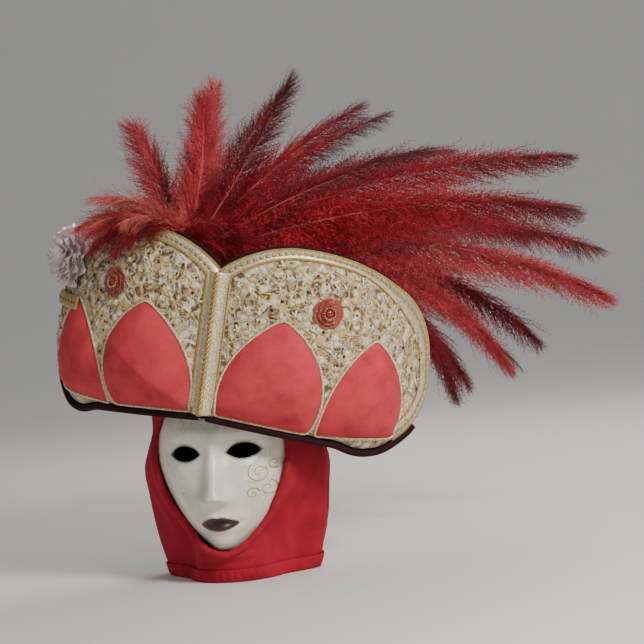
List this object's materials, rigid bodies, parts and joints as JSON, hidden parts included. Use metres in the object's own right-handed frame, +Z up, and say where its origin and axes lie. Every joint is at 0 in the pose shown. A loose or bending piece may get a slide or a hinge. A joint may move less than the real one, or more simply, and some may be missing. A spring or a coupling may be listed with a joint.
{
  "type": "carnival mask headpiece",
  "caption": "Full-face carnival mask set in a velvet cowl, with a lift-off two-lobed lace hat and a removable feather plume.",
  "frame": {"origin": "centre of the neck opening on the plane of the cowl hem", "axes": "+Z up along the head, the mask faces -Y, the wearer's left is +X"},
  "size_m": [0.6225, 0.4986, 0.5434],
  "materials": {
    "papier_mache": "lacquered, satin",
    "foam": "soft",
    "elastic": "woven",
    "brass": "polished",
    "slider_plastic": "moulded",
    "crimson_velvet": "velvet pile",
    "satin_lining": "satin",
    "buckram": "stiffened weave",
    "dark_velvet": "velvet pile",
    "ribbon": "ribbed",
    "gold_lace": "metallic lace",
    "cream_braid": "woven braid",
    "dark_piping": "satin cord",
    "coral_velvet": "velvet pile",
    "flower_silk": "silk and beads",
    "rosette_satin": "satin",
    "gold_braid": "metallic braid",
    "stem_wire": "bare",
    "feather_red": "ostrich and coque feather"
  },
  "bodies": {
    "headpiece": {"mask_shell": "papier_mache", "forehead_pad": "foam", "cheek_pad_left": "foam", "cheek_pad_right": "foam", "head_elastic": "elastic", "strap_stud_left": "brass", "strap_stud_right": "brass", "cowl_shell": "crimson_velvet", "cowl_lining": "satin_lining", "face_opening_binding": "crimson_velvet", "neck_hem_band": "crimson_velvet"},
    "strap_slider_body": {"strap_slider": "slider_plastic"},
    "hat": {"crown_cap": "buckram", "crown_cover": "dark_velvet", "head_band": "ribbon", "brim_base": "dark_velvet", "flap_front_left": "dark_velvet", "flap_front_right": "dark_velvet", "flap_back_left": "dark_velvet", "flap_back_right": "dark_velvet", "lace_panel_left": "gold_lace", "lace_panel_right": "gold_lace", "edge_braid_left": "cream_braid", "edge_braid_right": "cream_braid", "brim_piping_left": "dark_piping", "brim_piping_right": "dark_piping", "petal_inner_left": "coral_velvet", "petal_inner_right": "coral_velvet", "petal_outer_left": "coral_velvet", "petal_outer_right": "coral_velvet", "flower_left": "flower_silk", "flower_right": "flower_silk", "rosette": "rosette_satin", "rosette_band": "gold_braid", "ridge_cord": "gold_braid", "plume_socket": "buckram"},
    "plume": {"plume_tang": "stem_wire", "plume_binding": "dark_piping", "feather_01": "feather_red", "feather_02": "feather_red", "feather_03": "feather_red", "feather_04": "feather_red", "feather_05": "feather_red", "feather_06": "feather_red", "feather_07": "feather_red", "feather_08": "feather_red", "feather_09": "feather_red", "feather_10": "feather_red", "feather_11": "feather_red", "feather_12": "feather_red", "feather_13": "feather_red", "feather_14": "feather_red", "feather_15": "feather_red", "feather_16": "feather_red", "feather_17": "feather_red", "feather_18": "feather_red", "feather_19": "feather_red", "feather_20": "feather_red"}
  },
  "joints": [
    {"name": "hat_lift", "type": "slide", "parent": "headpiece", "child": "hat", "axis": [0.225, 0, 0.9744], "range_m": [0, 0.2]},
    {"name": "plume_draw", "type": "slide", "parent": "hat", "child": "plume", "axis": [0.225, 0, 0.9744], "range_m": [0, 0.06]},
    {"name": "slider_travel", "type": "slide", "parent": "headpiece", "child": "strap_slider_body", "axis": [0, 1, 0], "range_m": [-0.005, 0.013]}
  ]
}
